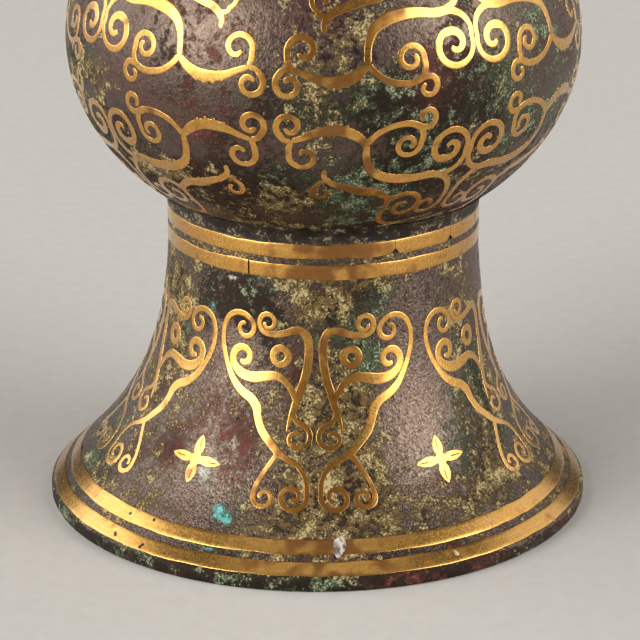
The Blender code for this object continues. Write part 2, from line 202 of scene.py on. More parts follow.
def grid_faces(rows, columns, closed_rows):
    """Quads between the neighbours of a grid whose columns close into a ring."""
    row = np.arange(rows if closed_rows else rows - 1)[:, None]
    column = np.arange(columns)[None, :]
    row_after = (row + 1) % rows * columns
    column_after = (column + 1) % columns
    corners = (row * columns + column, row * columns + column_after)
    corners += (row_after + column_after, row_after + column)
    return np.stack(np.broadcast_arrays(*corners), -1).reshape(-1, 4)


def new_piece(name, points, faces, material, fields):
    """An object from points in millimetres, with smooth faces and a number per point for each field."""
    mesh = bpy.data.meshes.new(name)
    mesh.from_pydata((leaning(points) / metre).tolist(), [], faces)
    for field, values in fields.items():
        layer = mesh.attributes.new(field, "FLOAT", "POINT")
        layer.data.foreach_set("value", np.asarray(values, np.float32).ravel())
    mesh.shade_smooth()
    mesh.set_sharp_from_angle(angle=np.radians(crease_angle))
    mesh.materials.append(material)
    piece = bpy.data.objects.new(name, mesh)
    bpy.context.scene.collection.objects.link(piece)
    return piece


def linear(hex_colour):
    """A linear colour from an sRGB hex value."""
    part = np.array([int(hex_colour[k:k + 2], 16) for k in (1, 3, 5)]) / 255.0
    value = np.where(part <= 0.04045, part / 12.92, ((part + 0.055) / 1.055) ** 2.4)
    return (*value.tolist(), 1.0)


def set_inputs(node, inputs):
    """Gives each named input of a node its value, or a link where the value is an output."""
    for name, value in inputs.items():
        if isinstance(value, bpy.types.NodeSocket):
            node.id_data.links.new(value, node.inputs[name])
        else:
            node.inputs[name].default_value = value


def add_node(tree, kind, settings, inputs, output=None):
    """Adds a node with its settings and inputs, and returns one of its outputs."""
    new = tree.nodes.new(f"ShaderNode{kind}")
    for name, value in settings.items():
        setattr(new, name, value)
    set_inputs(new, inputs)
    return new.outputs[output] if output else next(o for o in new.outputs if o.enabled)


def new_material(name, grains, roughness=0.5):
    """A material, its node tree, places on the object in metres, and a noise for each of its grains.

    A grain is (size, detail), and roughness is how much the finer details of a noise count.
    """
    material = bpy.data.materials.new(name)
    material.use_nodes = True
    tree = material.node_tree
    place = add_node(tree, "TexCoord", {}, {}, "Object")
    noises = []
    for size, detail in grains:
        inputs = {"Vector": place, "Scale": metre / size, "Detail": detail, "Roughness": roughness}
        noises.append(add_node(tree, "TexNoise", {}, inputs))
    return material, tree, place, *noises


def painted(under, over, value, low, high, most=1.0):
    """A number or a colour laid over another where a value goes from low to high.

    The share of the upper one follows an S-shaped rise and ends at most. Of a Mix node's inputs, 0 is
    the share, 2 and 3 are the two numbers, and 6 and 7 are the two colours.
    """
    tree = value.id_data
    reach = {"Value": value, "From Min": low, "From Max": high, "To Max": most}
    share = add_node(tree, "MapRange", {"interpolation_type": "SMOOTHSTEP"}, reach)
    if isinstance(over, float):
        return add_node(tree, "Mix", {}, {0: share, 2: under, 3: over})
    under, over = (linear(tone) if isinstance(tone, str) else tone for tone in (under, over))
    return add_node(tree, "Mix", {"data_type": "RGBA"}, {0: share, 6: under, 7: over})


# Patinated cast bronze: a dark brown and purple oxide skin, dense enough to shine, with a fine grain.
# Over it lie ragged matt patches of black earth, red oxide, green, olive crust, lime and salts. The
# black earth also stands for painted shade on the belly's underside and on the foot's top under it.
# Pits are darker, and the floors of the grooves under the gold are darkened as painted shade. The
# grains of sand are drawn coarser than they are, so that they show.
patina_grains = ((0.36, 2.0), (0.9, 3.0), (3.0, 4.0), (11.0, 3.0))
patina = new_material("patinated_cast_bronze", patina_grains, 0.65)
bronze, tree, _, sand, grit, blotch, cloud = patina
weighted_sum = {"operation": "MULTIPLY_ADD"}
deposit_level = 1.51
mottle, speckle = (
    add_node(tree, "Mix", {}, {0: 0.5, 2: fine, 3: blotch}) for fine in (grit, sand)
)
grain = add_node(tree, "Attribute", {"attribute_name": "grain"}, {}, "Fac")
grain = add_node(tree, "Mix", {}, {0: grain, 2: 0.5, 3: sand})
tone = painted("#120C0B", "#4E3E3D", grain, 0.36, 0.64)
tone = painted(tone, "#4A282A", cloud, 0.44, 0.62, 0.6)
tone = painted(tone, "#110C0B", mottle, 0.48, 0.38, 0.8)
tone = painted(tone, "#94826B", speckle, 0.57, 0.64, 0.6)
rough = painted(0.26, 0.40, grit, 0.35, 0.65)
shine = painted(1.35, 2.5, grain, 0.36, 0.64)
for deposit, deep_tone, middle_tone, pale_tone, edge in (
    ("black_earth_and_shade", "#0B0807", "#191310", "#413529", 0.09),
    ("red", "#220F0E", "#5A2926", "#87493F", 0.20),
    ("green", "#0C110C", "#3B4733", "#98A684", 0.11),
    ("crust", "#130C06", "#5C4A2B", "#B2A173", 0.09),
    ("lime", "#4F4A42", "#8D8A7C", "#C4C2B2", 0.12),
    ("salt", "#2C5F5B", "#5BA29D", "#A9DCD5", 0.16),
):
    amount = add_node(tree, "Attribute", {"attribute_name": deposit}, {}, "Fac")
    for noise, noise_share in ((blotch, 1.15), (grit, 0.60), (sand, 0.25)):
        amount = add_node(tree, "Math", weighted_sum, {0: noise, 1: noise_share, 2: amount})
    deposit_tone = painted(deep_tone, middle_tone, mottle, 0.445, 0.515)
    deposit_tone = painted(deposit_tone, pale_tone, speckle, 0.525, 0.615)
    deposit_tone = painted(deposit_tone, deep_tone, grit, 0.44, 0.34, 0.8)
    low, high = deposit_level - edge, deposit_level + edge
    tone = painted(tone, deep_tone, amount, low - edge, deposit_level, 0.6)
    tone = painted(tone, deposit_tone, amount, low, high)
    rough = painted(rough, 0.75, amount, low, high)
    shine = painted(shine, 1.45, amount, low, high)
# Pits are darker, and the floors of the grooves under the gold are darkened as painted shade.
pits_and_groove_shade = add_node(tree, "Attribute", {"attribute_name": "pits_and_groove_shade"}, {}, "Fac")
tone = painted(tone, "#1C1510", pits_and_groove_shade, 0.0, 1.0)
height = add_node(tree, "Math", weighted_sum, {0: grit, 1: 0.3, 2: grain})
height = add_node(tree, "Math", weighted_sum, {0: rough, 1: 0.8, 2: height})
bump = add_node(tree, "Bump", {}, {"Height": height, "Strength": 0.8, "Distance": 0.18 / metre})
surface = {"Base Color": tone, "Roughness": rough, "IOR": shine, "Normal": bump}
surface["Specular Tint"] = linear("#F0D2B4")
set_inputs(tree.nodes["Principled BSDF"], surface)


def outer_arcs(start, end, bands):
    """Arc lengths of an outside's rows: even steps, with close rows at the walls of each groove."""
    arcs = [np.arange(start, end, outer_step), [end]]
    for low, high in bands:
        arcs += [low + groove_inset + groove_wall_rows, high - groove_inset + groove_wall_rows]
    arcs = np.unique(np.concatenate(arcs))
    return arcs[(arcs >= start) & (arcs <= end)]


def sunk_bands(arc, bands):
    """How far an outside is cut away at arc lengths: the depth of a groove inside each band."""
    inside = np.zeros(arc.shape, bool)
    for low, high in bands:
        inside |= (arc > low + groove_inset) & (arc < high - groove_inset)
    return np.where(inside, groove_depth, 0.0)


def casting(name, runs, bands, deposits, grain_amount, columns):
    """A closed outline turned about the axis, moved along its normals by swell, pits and crust.

    The outline is made of runs of (places, arc lengths, share of the relief). Hidden places have an
    arc length far below nought, and those that stand on the ground have no relief.
    """
    outline = np.vstack([places for places, _, _ in runs])
    arc, relief = (
        np.concatenate([np.broadcast_to(run[k], len(run[0])) for run in runs])[:, None] for k in (1, 2)
    )
    relief = np.where(outline[:, 1:] < standing_height, 0.0, relief)
    sunk = sunk_bands(arc, bands)
    angle = evenly_round(columns)
    ahead = np.roll(outline, -1, axis=0) - np.roll(outline, 1, axis=0)
    normal = np.column_stack((ahead[:, 1], -ahead[:, 0])) / np.hypot(*ahead.T)[:, None]
    radius, height = outline[:, :1], outline[:, 1:]
    points = around(radius, angle, height)
    fields = {}
    for seed, (deposit, share, places) in enumerate(deposits, start=20):
        drift = lattice_noise(points, patch_size, seed)
        drift += patch_detail_share * lattice_noise(points, patch_detail_size, seed + 40)
        drift = patch_strength * (drift - patch_mean)
        fields[deposit] = share + drift + spots(angle, arc, places)
    pits_and_groove_shade = smoothstep(lattice_noise(points, pit_size, 3), *pit_range)
    pits_and_groove_shade *= smoothstep(lattice_noise(points, pit_zone_size, 4), *pit_zone_range)
    lumpy = lump_strength * (lattice_noise(points, lump_size, 5) - 0.5)
    lumps = smoothstep(fields["crust"] + lumpy, *lump_range)
    lift = swell(points) + relief * (lump_rise * lumps - pit_depth * pits_and_groove_shade)
    lift = np.where(relief > 0, lift, 0.0) - sunk
    # The floors of the grooves are darkened as painted shade, on top of the darker pits.
    fields["pits_and_groove_shade"] = np.clip(pits_and_groove_shade + groove_shade * sunk, 0.0, 1.0)
    fields["grain"] = np.float64(grain_amount)
    fields = {field: np.broadcast_to(value, points.shape[:2]) for field, value in fields.items()}
    points = around(radius + lift * normal[:, :1], angle, height + lift * normal[:, 1:])
    faces = grid_faces(*points.shape[:2], True).tolist()
    return new_piece(name, points.reshape(-1, 3), faces, bronze, fields)


def trumpet(radius, heights, rim, straight, power, count):
    """Places, as (radius, height), up or down a straight collar that opens into a trumpet.

    From the collar's second height to the rim, the radius grows by a power of the share of the way,
    blended with an even growth.
    """
    up_collar = np.linspace(*heights, collar_rows, endpoint=False)
    collar = np.column_stack((np.full(collar_rows, radius), up_collar))
    share = np.linspace(0.0, 1.0, count)
    flare = (1.0 - straight) * share**power + straight * share
    bell = (radius + (rim[0] - radius) * flare, heights[1] + (rim[1] - heights[1]) * share)
    return np.vstack((collar, np.column_stack(bell)))


foot_collar = (foot_height, foot_height - collar_height)
foot_rim = (foot_radius, foot_rim_height)
foot_places = trumpet(collar_radius, foot_collar, foot_rim, foot_straight, foot_power, count=500)
foot_curve = traced(foot_places[::-1])
foot_length = foot_curve[-1, 0]
waist_bands = tuple((foot_length - high, foot_length - low) for low, high in collar_bands)
foot_bands = rim_bands + waist_bands
foot_arcs = outer_arcs(rim_margin, foot_length - seam_margin, foot_bands)
rim_turn = np.radians(np.linspace(-90.0, 0.0, 6))
rim_middle = (foot_radius - foot_rim_round, foot_rim_round)
rim_bottom = rim_middle + foot_rim_round * np.column_stack((np.cos(rim_turn), np.sin(rim_turn)))
rim_top = [(foot_radius, foot_rim_height - 0.4), (foot_radius - 0.04, foot_rim_height - 0.1)]
inside_arcs = np.arange(0.0, foot_length - collar_height, inner_step)
foot_inside = np.column_stack(on_curve(foot_curve, inside_arcs, -foot_wall))
rim_inner_radius = foot_radius - foot_rim_width
socket_bottom = foot_height - foot_socket_depth
within_rim = (foot_inside[:, 0] < rim_inner_radius) & (foot_inside[:, 1] > foot_inside_low)
foot_inside = foot_inside[within_rim]
foot_outside = np.column_stack(on_curve(foot_curve, foot_arcs))
socket_radius = collar_radius - foot_socket_wall
foot_hidden = [
    (collar_radius - 0.1, foot_height - 0.08),
    (collar_radius - 0.35, foot_height),
    (socket_radius, foot_height),
    (socket_radius, socket_bottom),
    (collar_radius - foot_wall, socket_bottom),
]
foot_base = [(rim_inner_radius, 0.6), (rim_inner_radius + 0.15, 0.15), (rim_inner_radius + 0.5, 0.0)]
rim_arc = -1.0
hidden_arc = -500.0
foot_runs = (
    (rim_bottom, rim_arc, 1.0),
    (rim_top, rim_arc, 1.0),
    (foot_outside, foot_arcs, 1.0),
    (foot_hidden, hidden_arc, 0.0),
    (foot_inside[::-1], hidden_arc, 1.0),
    (foot_base, hidden_arc, 1.0),
)
foot_deposits = (
    # Black earth, and painted shade on the foot's top under the belly.
    ("black_earth_and_shade", 0.31, (
        (3, 43.5, 2.4, 1.7, 0.7), (15, 47, 8, 3, 0.25), (-62, 43, 26, 8, 0.3), (-30, 45, 16, 7, 0.32),
        (-18, 37, 8, 6, 0.22), (0, 9.5, 12, 2.5, 0.3), (20, 31, 6, 3, 0.3), (0, 25, 14, 14, 0.3),
        (0, -1, 1000, 1.5, 0.42), (34, 30, 12, 16, -0.2), (-32, 22, 10, 14, -0.15),
    )),
    ("red", 0.31, (
        (-62, 28, 8, 6, 0.4), (-58, 15, 10, 5, 0.36), (-8, 35, 5, 6, 0.42), (-38, 27, 11, 7, 0.22),
        (-24, 23, 6, 6, 0.3), (-66, 9, 10, 3, 0.35), (-46, 19, 6, 4, 0.3), (66, 22, 6, 6, 0.25),
        (40, 13, 10, 5, 0.3), (4, 41, 4, 2, 0.2), (34, 30, 12, 16, -0.2),
    )),
    ("green", 0.34, (
        (18, 48, 10, 4, 0.28), (12, 36, 9, 10, 0.24), (-57, 36, 7, 7, 0.32), (62, 28, 9, 14, 0.26),
        (55, 8, 20, 5, 0.22), (0, -0.5, 70, 1.2, 0.08), (-20, 5, 40, 1, 0.25), (-24, 10, 5, 3, 0.4),
        (44, 15, 11, 6, 0.3), (-76, 22, 12, 20, 0.22), (-30, 18, 13, 16, -0.3),
        (32, 26, 13, 18, -0.35),
    )),
    ("crust", 0.40, (
        (2, 47, 15, 4.5, 0.3), (-8, 44, 8, 3, 0.18), (1, 12, 19, 7, 0.24), (1, 23, 13, 8, 0.2),
        (-64, 26, 7, 10, 0.18), (52, 17, 12, 10, 0.24), (13, 29, 6, 3.5, 0.25),
        (-28, 15, 11, 11, -0.36), (-38, 31, 11, 11, -0.34), (32, 34, 13, 14, -0.5),
        (29, 24, 8, 5, -0.2), (25, 15, 6, 8, 0.08), (-35, 45, 20, 8, -0.45), (0, -1, 1000, 1.5, -0.16),
        (-32, 8.8, 14, 2.4, 0.4), (42, 10, 13, 4, 0.22),
    )),
    ("lime", -0.35, (
        (42, 5.6, 1.3, 1.6, 0.75), (-34, 48.6, 6, 1, 0.68), (-32, 19, 5, 4, 0.7),
        (-30, 14, 4, 3, 0.66), (24, 12, 5, 3, 0.6),
    )),
    ("salt", -0.35, (
        (-25.5, 11, 2.8, 2.2, 0.9), (-22, 9.3, 2.6, 1.9, 0.94), (-42.5, 42.8, 2.6, 2, 0.98),
        (-55, 38, 2, 2.5, 0.85), (-40, 48.2, 2.5, 0.8, 0.85), (-24, 3.9, 3, 0.6, 0.95),
        (130, 24, 4, 3, 0.9), (215, 40, 3, 3, 0.9),
    )),
)
foot = casting("foot_casting", foot_runs, foot_bands, foot_deposits, grain_amount=0.48, columns=560)
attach(foot, "root")
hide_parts("foot_section")

# Belly casting
# A thin-walled bronze bulb with a spigot at each end, which fit into the foot and the neck.
# Its front is smoother and darker than the foot's, with a green bloom on its right and below.
# Painted shade darkens its underside.
belly_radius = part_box("belly_section")[1].x * metre
belly_half_height = 33.5
belly_wall = 3.0
neck_radius = 26.0
waist_seam = 1.2
spigot_inset = 2.3
spigot_wall = 3.0
belly_bottom = foot_height + waist_seam
belly_centre = belly_bottom + belly_half_height * np.sqrt(1.0 - (collar_radius / belly_radius) ** 2)
belly_top = belly_centre + belly_half_height * np.sqrt(1.0 - (neck_radius / belly_radius) ** 2)
spigot_low, spigot_high = (corner.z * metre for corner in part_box("belly_section"))
lower_spigot_radius = collar_radius - spigot_inset
upper_spigot_radius = neck_radius - spigot_inset
lower_bore = lower_spigot_radius - spigot_wall
upper_bore = upper_spigot_radius - spigot_wall
ledge_height = 2.0
ledge_width = 2.0
belly_relief = 0.7


def bulb(radius, half_height, low_radius, high_radius, count):
    """An upward arc of an ellipse about the belly's centre, from one radius to another."""
    turn = np.linspace(-np.arccos(low_radius / radius), np.arccos(high_radius / radius), count)
    return np.column_stack((radius * np.cos(turn), belly_centre + half_height * np.sin(turn)))


belly_curve = traced(bulb(belly_radius, belly_half_height, collar_radius, neck_radius, count=600))
belly_length = belly_curve[-1, 0]
belly_arcs = outer_arcs(seam_margin, belly_length - seam_margin, ())
belly_outside = np.column_stack(on_curve(belly_curve, belly_arcs))
inner_radius = belly_radius - belly_wall
inner_half_height = belly_half_height - belly_wall
belly_inside = bulb(inner_radius, inner_half_height, lower_bore, upper_bore, count=44)
belly_hidden = [
    (neck_radius - 0.3, belly_top),
    (upper_spigot_radius, belly_top),
    (upper_spigot_radius, spigot_high),
    (upper_bore, spigot_high),
]
belly_base = [
    (lower_bore, spigot_low + ledge_height),
    (lower_bore - ledge_width, spigot_low + ledge_height),
    (lower_bore - ledge_width, spigot_low),
    (lower_spigot_radius, spigot_low),
    (lower_spigot_radius, belly_bottom),
    (collar_radius - 0.3, belly_bottom),
]
belly_runs = (
    (belly_outside, belly_arcs, belly_relief),
    (belly_hidden, hidden_arc, 0.0),
    (belly_inside[::-1], hidden_arc, 0.0),
    (belly_base, hidden_arc, 0.0),
)
belly_deposits = (
    # Black earth, and painted shade low on the belly, darkest all round its underside.
    ("black_earth_and_shade", 0.30, (
        (0, 0, 1000, 7, 0.4), (-12, 12, 60, 9, 0.34), (2, 31, 22, 7, 0.46), (22, 20, 12, 4, 0.25),
        (35, 27, 22, 6, 0.16), (-50, 15, 26, 9, 0.36), (-74, 32, 15, 15, 0.34),
    )),
    ("red", 0.28, ((-22, 29, 7, 2.5, 0.12), (52, 38, 6, 5, 0.34), (46, 12, 9, 4, 0.14))),
    ("green", 0.32, (
        (25, 28, 22, 9, 0.14), (48, 24, 20, 14, 0.16), (5, 12, 34, 8, 0.26), (-58, 31, 7, 4, 0.28),
        (-25, 21, 12, 5, 0.14), (-40, 18, 16, 5, 0.3), (-74, 30, 14, 14, 0.3),
        (-30, 34, 14, 12, -0.34),
    )),
    ("crust", 0.36, (
        (-8, 13, 9, 7, 0.32), (4, 41, 7, 5, 0.12), (-58, 31, 6, 3.5, 0.3), (-10, 2, 40, 2, 0.26),
        (-44, 17, 9, 3, 0.22), (-30, 34, 15, 14, -0.46), (30, 42, 12, 6, -0.2), (20, 22, 14, 5, -0.16),
    )),
    ("lime", -0.35, ((-44, 15, 4, 2, 0.62), (-56, 20, 3, 2.5, 0.62))),
    ("salt", -0.35, ((28, 17.6, 2.6, 1.4, 1), (160, 30, 4, 2, 0.9))),
)
belly = casting("belly_casting", belly_runs, (), belly_deposits, grain_amount=0.25, columns=560)
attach(belly, "root")
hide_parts("belly_section")

# Well floor
# A small cast bronze disc that closes the well, let down onto a ledge inside the belly's spigot.
# It was never finished, so its faces keep the grain of the mould.
floor_low, floor_high = (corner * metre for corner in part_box("well_floor"))
floor_columns = 96
floor_chamfer = 0.3
floor_patch_size = 9.0
floor_patch_strength = 0.8
floor_pit_size = 2.5
floor_pit_share = 0.5
floor_shares = np.array([0.02, 0.25, 0.5, 0.75, 0.97, 1.0])
floor_radii = floor_high.x * np.concatenate((floor_shares, floor_shares[::-1]))[:, None]
floor_heights = np.repeat([floor_low.z, floor_high.z], len(floor_shares))[:, None]
floor_rim_rows = [len(floor_shares) - 1, len(floor_shares)]
floor_heights[floor_rim_rows, 0] += (floor_chamfer, -floor_chamfer)
floor_points = around(floor_radii, evenly_round(floor_columns), floor_heights)
floor_deposits = {"black_earth_and_shade": 0.4, "red": 0.2, "green": 0.35, "crust": 0.45, "lime": -0.4, "salt": -0.4}
floor_drift = floor_patch_strength * (lattice_noise(floor_points, floor_patch_size, 60) - 0.5)
floor_fields = {deposit: share + floor_drift for deposit, share in floor_deposits.items()}
floor_fields["pits_and_groove_shade"] = floor_pit_share * lattice_noise(floor_points, floor_pit_size, 61)
floor_fields["grain"] = np.ones(floor_points.shape[:2])


def tube_piece(name, tubes, material):
    """A piece made of tubes, each a grid of rings with its fields and one face across each end."""
    faces = []
    start = 0
    for rings, _ in tubes:
        rows, columns = rings.shape[:2]
        ring = np.arange(columns)
        last_ring = (rows - 1) * columns
        faces += (start + grid_faces(rows, columns, False)).tolist()
        faces += [(start + ring[::-1]).tolist(), (start + last_ring + ring).tolist()]
        start += rows * columns
    points = np.vstack([rings.reshape(-1, 3) for rings, _ in tubes])
    fields = {
        field: np.concatenate([tube_fields[field].ravel() for _, tube_fields in tubes])
        for field in tubes[0][1]
    }
    return new_piece(name, points, faces, material, fields)


well_floor = tube_piece("well_floor_disc", [(floor_points, floor_fields)], bronze)
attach(well_floor, "root")
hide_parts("well_floor")

# Neck casting
# A bronze trumpet above a straight collar, cast and turned like the foot, with a thickened lip.
# It slips over the belly's upper spigot.
mouth_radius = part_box("neck_section")[1].x * metre
mouth_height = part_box("neck_section")[1].z * metre
neck_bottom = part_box("neck_section")[0].z * metre
neck_wall = 3.2
neck_power = 3.0
neck_straight = 0.30
lip_height = 2.0
lip_width = 3.5
lip_round = 0.5
socket_room = 0.3
inside_room = 1.0
neck_collar = (neck_bottom, neck_bottom + collar_height)
neck_lip_edge = (mouth_radius, mouth_height - lip_height)
neck_places = trumpet(neck_radius, neck_collar, neck_lip_edge, neck_straight, neck_power, count=600)
neck_curve = traced(neck_places)
neck_length = neck_curve[-1, 0]
mouth_bands = tuple((neck_length - high, neck_length - low) for low, high in rim_bands)
neck_bands = collar_bands + mouth_bands
neck_arcs = outer_arcs(seam_margin, neck_length - rim_margin, neck_bands)
neck_outside = np.column_stack(on_curve(neck_curve, neck_arcs))
neck_inside_arcs = np.arange(collar_height, neck_length, inner_step)
neck_inside = np.column_stack(on_curve(neck_curve, neck_inside_arcs, -neck_wall))
lip_inner = mouth_radius - lip_width
under_lip = neck_inside[:, 0] < lip_inner - lip_round
over_spigot = neck_inside[:, 1] > spigot_high + inside_room
neck_inside = neck_inside[under_lip & over_spigot]
socket_top = spigot_high + socket_room
neck_lip = [
    (mouth_radius - 0.02, mouth_height - 1.7),
    (mouth_radius, mouth_height - 1.0),
    (mouth_radius - 0.15, mouth_height - 0.3),
    (mouth_radius - 0.7, mouth_height),
    (lip_inner + 0.7, mouth_height),
    (lip_inner + 0.1, mouth_height - 0.3),
]
neck_socket = [
    (neck_radius - neck_wall, socket_top),
    (neck_radius - foot_socket_wall, socket_top),
    (neck_radius - foot_socket_wall, neck_bottom),
    (neck_radius - 0.35, neck_bottom),
]
neck_runs = (
    (neck_outside, neck_arcs, 1.0),
    (neck_lip, hidden_arc, 1.0),
    (neck_inside[::-1], hidden_arc, 1.0),
    (neck_socket, hidden_arc, 0.0),
)
neck_deposits = (
    ("black_earth_and_shade", 0.24, ()),
    ("red", 0.28, ()),
    ("green", 0.32, ((40, 90, 40, 14, 0.2),)),
    ("crust", 0.36, ((0, neck_length, 1000, 3, 0.1),)),
    ("lime", -0.35, ()),
    ("salt", -0.35, ((-60, 60, 4, 3, 0.9), (100, 85, 3, 3, 0.9))),
)
neck = casting("neck_casting", neck_runs, neck_bands, neck_deposits, grain_amount=0.6, columns=340)
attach(neck, "root")
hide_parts("neck_section")

# Solder rings
# Soft solder run into the seams round the spigots and into the corner of the well floor.
# It fills each crease beside the bulb with a hollow fillet, and has gone nearly black.
solder, tree, _, speck, lump = new_material("blackened_soft_solder", ((0.5, 4.0), (2.6, 4.0)))
tone = painted("#120C09", "#3A2C1C", lump, 0.40, 0.62)
specked = add_node(tree, "Math", {"operation": "ADD"}, {0: speck, 1: lump})
tone = painted(tone, "#8F8268", specked, 1.07, 1.20, 0.9)
rough = painted(0.50, 0.85, lump, 0.3, 0.7)
bump = add_node(tree, "Bump", {}, {"Height": specked, "Strength": 0.6, "Distance": 0.15 / metre})
surface = {"Base Color": tone, "Roughness": rough, "Normal": bump, "Metallic": 0.2}
set_inputs(tree.nodes["Principled BSDF"], surface)
solder_columns = 360
seam_waver = 0.3
seam_waver_size = 3.0
bead_radius = 0.6
solder_angles = evenly_round(solder_columns)
fillet_share = np.linspace(0.0, 1.0, 9)[:, None]
fillet_low = np.array([0.02, -1.9])
fillet_corner = np.array([0.10, -0.2])
fillet_high = np.array([1.9, 1.12])
fillet_hollow = 2.0 * fillet_share * (1.0 - fillet_share) * fillet_corner
fillet = (1.0 - fillet_share) ** 2 * fillet_low + fillet_hollow + fillet_share**2 * fillet_high
seam_section = np.vstack((fillet, [(1.2, 1.25), (-0.9, 0.1), (-0.9, -1.0)]))
corner_turns = np.linspace(0.0, 2.0 * np.pi, 12, endpoint=False)
corner_section = bead_radius * np.column_stack((np.cos(corner_turns), np.sin(corner_turns)))
corner_low, corner_high = (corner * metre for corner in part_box("floor_solder_ring"))
solder_runs = (
    ("waist_solder_ring", seam_section, collar_radius, belly_bottom),
    ("neck_solder_ring", seam_section[::-1] * (1.0, -1.0), neck_radius, belly_top),
    ("floor_solder_ring", corner_section, corner_high.x - bead_radius, corner_low.z + bead_radius),
)
for ring_name, section, seam_radius, seam_height in solder_runs:
    section_radius, section_height = section[:, :1], section[:, 1:]
    ring_points = around(seam_radius + section_radius, solder_angles, seam_height + section_height)
    ring_points[..., 2] += seam_waver * (lattice_noise(ring_points, seam_waver_size, 70) - 0.5)
    ring_faces = grid_faces(*ring_points.shape[:2], True).tolist()
    ring = new_piece(f"{ring_name}_run", ring_points.reshape(-1, 3), ring_faces, solder, {})
    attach(ring, "root")
    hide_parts(ring_name)

# Gold bands
# Strips of beaten gold hammered into turned grooves, in pairs by each rim and on each collar.
# Their edges wander a little, and they butt together at joints, some open and some bitten out.
strip_across = np.array([-1.0, -1.0, -0.98, -0.90, -0.5, 0.0, 0.5, 0.90, 0.98, 1.0, 1.0])
strip_lift = np.array([-0.25, -0.02, 0.02, 0.04, 0.05, 0.05, 0.05, 0.04, 0.02, -0.02, -0.25])
strip_step = 0.5
strip_waver = 0.30
strip_waver_size = 3.5
streak_shift = 31.0
streak_length = 4.0
streak_width = 0.35
bite_height = 0.9
bite_half_width = 1.2
# Painted shade on the gold, most at the front, with spots of its own on the foot.
front_shade_places = ((2, 0, 17, 1000, 1),)
foot_shade_places = ((0, 13, 24, 7, 0.8), (0, 3.5, 17, 3.5, -0.4), (-2, 56, 30, 8, 0.4))
hole_radius = 0.40
hole_core = 0.22
strip_holes = ((-47.5, 5.9), (-40.1, 6.4), (-48.0, 1.9), (-47.6, 1.6), (-39.5, 1.8), (-39.8, 1.3))
strip_lime = ((42, 5.8, 0.7, 1.3, 0.55), (30, 2, 1, 1.3, 0.45))
bands = (
    ("foot_lower_band", foot_curve, rim_bands[0], 0.08, 0.0, (30.0, 205.0)),
    ("foot_upper_band", foot_curve, rim_bands[1], 0.10, 0.0, (5.5, 42.0, 195.0)),
    ("waist_lower_band", foot_curve, waist_bands[1], 0.28, 0.0, (-27.5, 150.0)),
    ("waist_upper_band", foot_curve, waist_bands[0], 0.06, bite_height, (26.0, 52.0, 200.0)),
    ("shoulder_lower_band", neck_curve, collar_bands[0], 0.15, 0.0, (-40.0, 140.0)),
    ("shoulder_upper_band", neck_curve, collar_bands[1], 0.10, 0.0, (15.0, 190.0)),
    ("mouth_lower_band", neck_curve, mouth_bands[1], 0.15, 0.0, (-20.0, 165.0)),
    ("mouth_upper_band", neck_curve, mouth_bands[0], 0.10, 0.0, (35.0, 210.0)),
)

# Beaten gold: a deep yellow metal with a satin face, faintly streaked along its length. It has
# orange places and duller brown ones, tarnished specks, worn holes, pale lime and a wax film.
# Painted shade turns it brown at the front and lays a dark line along its edges.
gold, tree, place, dent, fleck = new_material("beaten_inlay_gold", ((3.0, 1.0), (0.40, 1.0)))
along, across, edge, lime, painted_front_shade = (
    add_node(tree, "Attribute", {"attribute_name": field}, {}, "Fac")
    for field in ("along", "across", "edge", "lime", "painted_front_shade")
)
streak_along, streak_across = (
    add_node(tree, "Math", {"operation": "DIVIDE"}, {0: distance, 1: size})
    for distance, size in ((along, streak_length), (across, streak_width))
)
streak_place = add_node(tree, "CombineXYZ", {}, {0: streak_along, 1: streak_across})
streak = add_node(tree, "TexNoise", {}, {"Vector": streak_place, "Scale": 1.0, "Detail": 1.0})
tone = painted("#D4953A", "#E2AC50", fleck, 0.3, 0.7)
tone = painted(tone, "#EBC273", streak, 0.52, 0.72, 0.4)
# Duller brown at random, and at the front as painted shade.
dull_and_front_shade = add_node(tree, "Math", weighted_sum, {0: painted_front_shade, 1: 0.28, 2: dent})
tone = painted(tone, "#7E4A12", dull_and_front_shade, 0.58, 0.84, 0.85)
# Tarnished specks, and painted shade in a dark line along the gold's edges.
specks_and_edge_shade = painted(0.44, 0.0, edge, 0.0, 0.12)
specks_and_edge_shade = add_node(tree, "Math", {"operation": "ADD"}, {0: fleck, 1: specks_and_edge_shade})
tone = painted(tone, "#4A3018", specks_and_edge_shade, 0.84, 0.94)
rough = painted(0.24, 0.28, fleck, 0.3, 0.7)
rough = painted(rough, 0.46, dull_and_front_shade, 0.58, 0.84)
rough = painted(rough, 0.65, specks_and_edge_shade, 0.84, 0.94)
for hole_angle, hole_arc in strip_holes:
    hole = leaning(on_casting(foot_curve, hole_angle, hole_arc)) / metre
    away = add_node(tree, "VectorMath", {"operation": "DISTANCE"}, {0: place, 1: hole}, "Value")
    tone = painted(tone, "#0E0906", away, hole_radius / metre, hole_core / metre)
limed = add_node(tree, "Math", weighted_sum, {0: dent, 1: 0.9, 2: lime})
tone = painted(tone, "#C4BBB0", limed, 0.82, 0.90)
rough = painted(rough, 0.85, limed, 0.82, 0.90)
metal = painted(1.0, 0.0, limed, 0.82, 0.90)
height = add_node(tree, "Math", weighted_sum, {0: fleck, 1: 0.02, 2: dent})
bump = add_node(tree, "Bump", {}, {"Height": height, "Strength": 0.3, "Distance": 0.16 / metre})
surface = {"Base Color": tone, "Roughness": rough, "Metallic": metal, "Normal": bump}
surface |= {"Coat Weight": 0.8, "Coat Roughness": 0.25}
set_inputs(tree.nodes["Principled BSDF"], surface)


